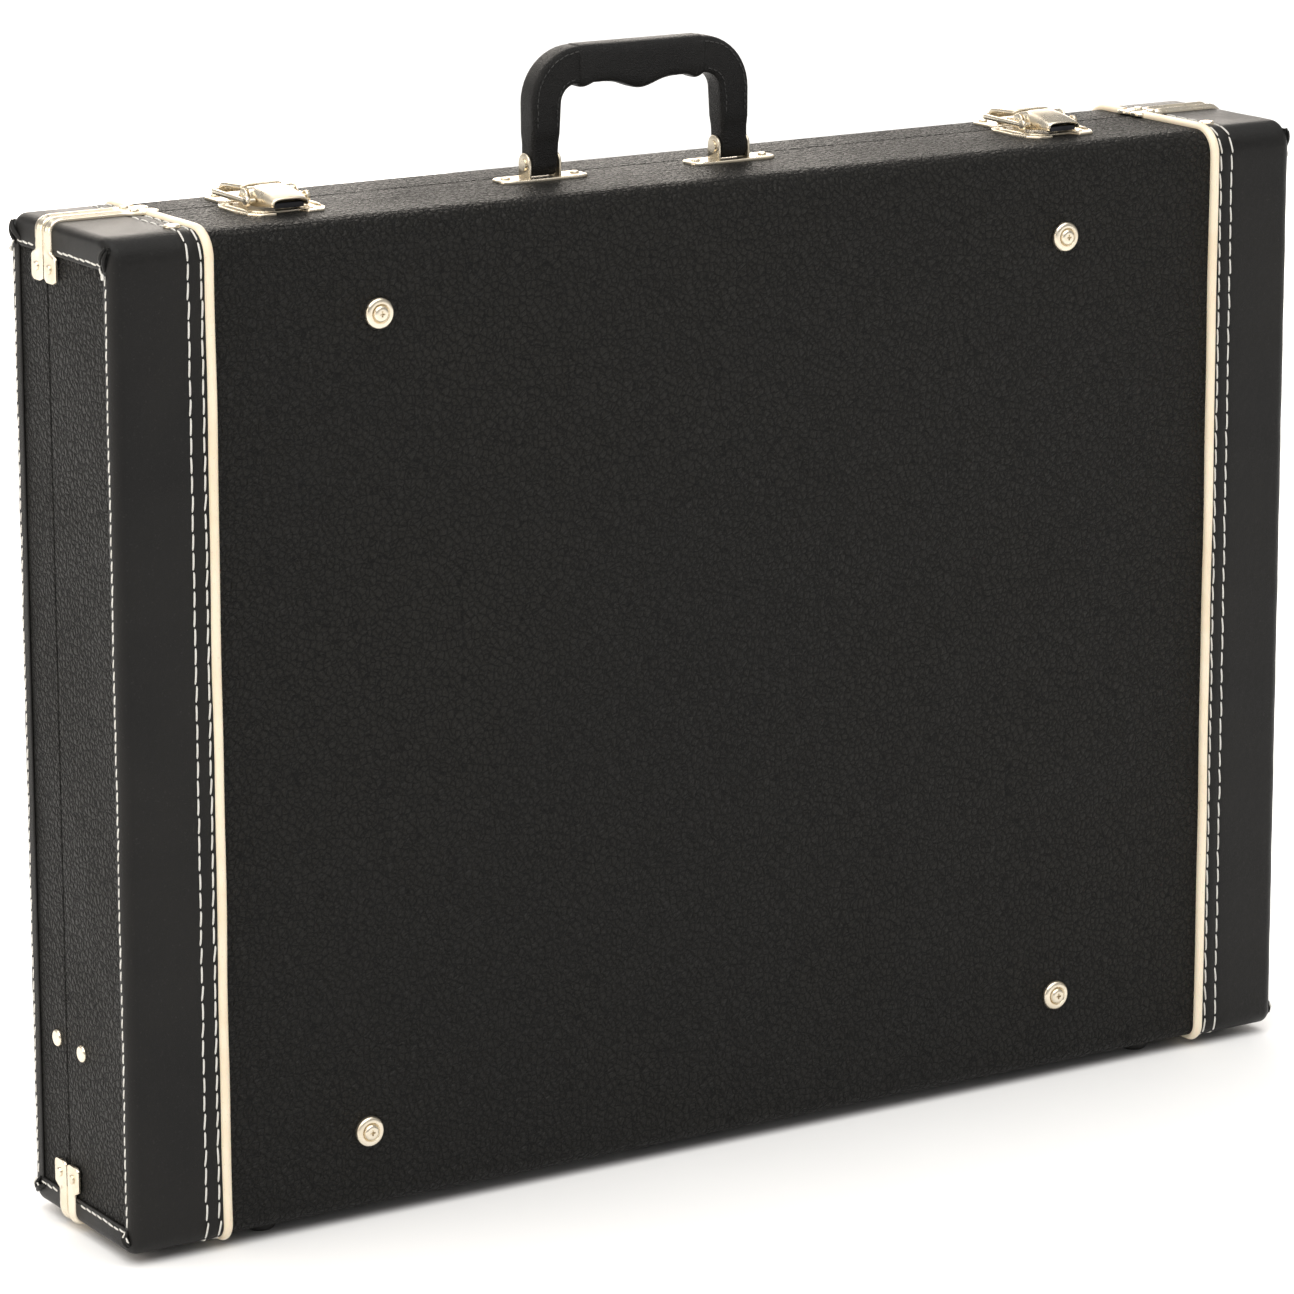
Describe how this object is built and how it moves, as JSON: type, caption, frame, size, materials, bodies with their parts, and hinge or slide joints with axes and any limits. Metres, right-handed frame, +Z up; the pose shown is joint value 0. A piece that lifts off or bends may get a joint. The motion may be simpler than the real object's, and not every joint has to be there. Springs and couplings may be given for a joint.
{
  "type": "pedalboard",
  "caption": "Hard-shell pedalboard case with a deep tray, hinged lid, draw latches, swinging handle and a screwed-in pedal deck.",
  "frame": {"origin": "under the middle of the shut case, on the surface that its feet stand on", "axes": "+X along the case, +Y from the tray floor to the lid, +Z up towards the handle"},
  "size_m": [0.6848, 0.1119, 0.554],
  "materials": {
    "plywood": "raw ply",
    "grained_vinyl": "leather-grain vinyl",
    "smooth_leatherette": "smooth satin",
    "cream_piping": "satin vinyl cord",
    "plush": "short pile",
    "loop_pile": "loop pile",
    "foam": "open-cell foam",
    "nickel": "warm bright nickel plate",
    "steel": "zinc-plated",
    "handle_leatherette": "fine-grain satin",
    "rubber": "moulded",
    "thread": "white waxed thread"
  },
  "bodies": {
    "tray": {"tray_shell": "plywood", "tray_covering": "grained_vinyl", "tray_end_cap_left": "smooth_leatherette", "tray_end_cap_right": "smooth_leatherette", "tray_piping_left": "cream_piping", "tray_piping_right": "cream_piping", "tray_lining": "plush", "tray_clamp_top_left": "nickel", "tray_clamp_top_right": "nickel", "tray_clamp_bottom_left": "nickel", "tray_clamp_bottom_right": "nickel", "tray_rivets": "nickel", "tray_stay_rivets": "nickel", "tray_hinge_leaves": "steel", "tray_feet": "rubber", "cap_rivets": "nickel", "rim_strip": "plywood", "pedal_deck": "plywood", "deck_cover": "loop_pile", "deck_risers": "plywood", "deck_screws": "nickel", "cup_washers": "nickel", "tee_nuts": "steel", "latch_base_left": "nickel", "latch_base_right": "nickel", "latch_pins": "nickel", "handle_plate_left": "nickel", "handle_plate_right": "nickel", "handle_pins": "nickel", "hinge_pins": "steel"},
    "lid": {"lid_shell": "plywood", "lid_covering": "grained_vinyl", "lid_end_cap_left": "smooth_leatherette", "lid_end_cap_right": "smooth_leatherette", "lid_piping_left": "cream_piping", "lid_piping_right": "cream_piping", "lid_lining": "plush", "lid_foam_pad": "foam", "lid_clamp_top_left": "nickel", "lid_clamp_top_right": "nickel", "lid_clamp_bottom_left": "nickel", "lid_clamp_bottom_right": "nickel", "lid_rivets": "nickel", "lid_stay_rivets": "nickel", "lid_hinge_leaves": "steel", "lid_feet": "rubber", "latch_catch_left": "nickel", "latch_catch_right": "nickel"},
    "handle": {"handle_grip": "handle_leatherette", "handle_core": "steel"},
    "lever_left": {"latch_lever_left": "nickel"},
    "link_left": {"latch_link_left": "nickel"},
    "stay_arm_left": {"stay_arm_left": "steel", "stay_elbow_left": "steel"},
    "stay_link_left": {"stay_link_left": "steel"},
    "lever_right": {"latch_lever_right": "nickel"},
    "link_right": {"latch_link_right": "nickel"},
    "stay_arm_right": {"stay_arm_right": "steel", "stay_elbow_right": "steel"},
    "stay_link_right": {"stay_link_right": "steel"}
  },
  "joints": [
    {"name": "lid_hinge", "type": "hinge", "parent": "tray", "child": "lid", "pos_m": [0, 0.015, 0.0038], "axis": [-1, 0, 0], "range_deg": [0, 95]},
    {"name": "handle_swing", "type": "hinge", "parent": "tray", "child": "handle", "pos_m": [-0.0255, 0.002, 0.4976], "axis": [1, 0, 0], "range_deg": [-85, 85]},
    {"name": "latch_lever_left", "type": "hinge", "parent": "tray", "child": "lever_left", "pos_m": [-0.231, -0.002, 0.4965], "axis": [-1, 0, 0], "range_deg": [0, 80]},
    {"name": "latch_link_left", "type": "hinge", "parent": "lever_left", "child": "link_left", "pos_m": [-0.231, -0.009, 0.495], "axis": [-1, 0, 0], "range_deg": [-93, 1]},
    {"name": "latch_lever_right", "type": "hinge", "parent": "tray", "child": "lever_right", "pos_m": [0.216, -0.002, 0.4965], "axis": [-1, 0, 0], "range_deg": [0, 80]},
    {"name": "latch_link_right", "type": "hinge", "parent": "lever_right", "child": "link_right", "pos_m": [0.216, -0.009, 0.495], "axis": [-1, 0, 0], "range_deg": [-93, 1]},
    {"name": "stay_arm_left", "type": "hinge", "parent": "tray", "child": "stay_arm_left", "pos_m": [0, -0.0015, 0.09227], "axis": [-1, 0, 0], "range_deg": [-1, 96]},
    {"name": "stay_link_left", "type": "hinge", "parent": "stay_arm_left", "child": "stay_link_left", "pos_m": [0, 0.008, 0.18177], "axis": [-1, 0, 0], "range_deg": [-96, 1]},
    {"name": "stay_arm_right", "type": "hinge", "parent": "tray", "child": "stay_arm_right", "pos_m": [0, -0.0015, 0.09227], "axis": [-1, 0, 0], "range_deg": [-1, 96]},
    {"name": "stay_link_right", "type": "hinge", "parent": "stay_arm_right", "child": "stay_link_right", "pos_m": [0, 0.008, 0.18177], "axis": [-1, 0, 0], "range_deg": [-96, 1]}
  ],
  "couplings": [
    {"joint": "latch_link_left", "follows": "latch_lever_left", "ratio": -1.15},
    {"joint": "latch_link_right", "follows": "latch_lever_right", "ratio": -1.15},
    {"joint": "stay_arm_left", "follows": "lid_hinge", "ratio": 1},
    {"joint": "stay_link_left", "follows": "lid_hinge", "ratio": -1},
    {"joint": "stay_arm_right", "follows": "lid_hinge", "ratio": 1},
    {"joint": "stay_link_right", "follows": "lid_hinge", "ratio": -1}
  ]
}
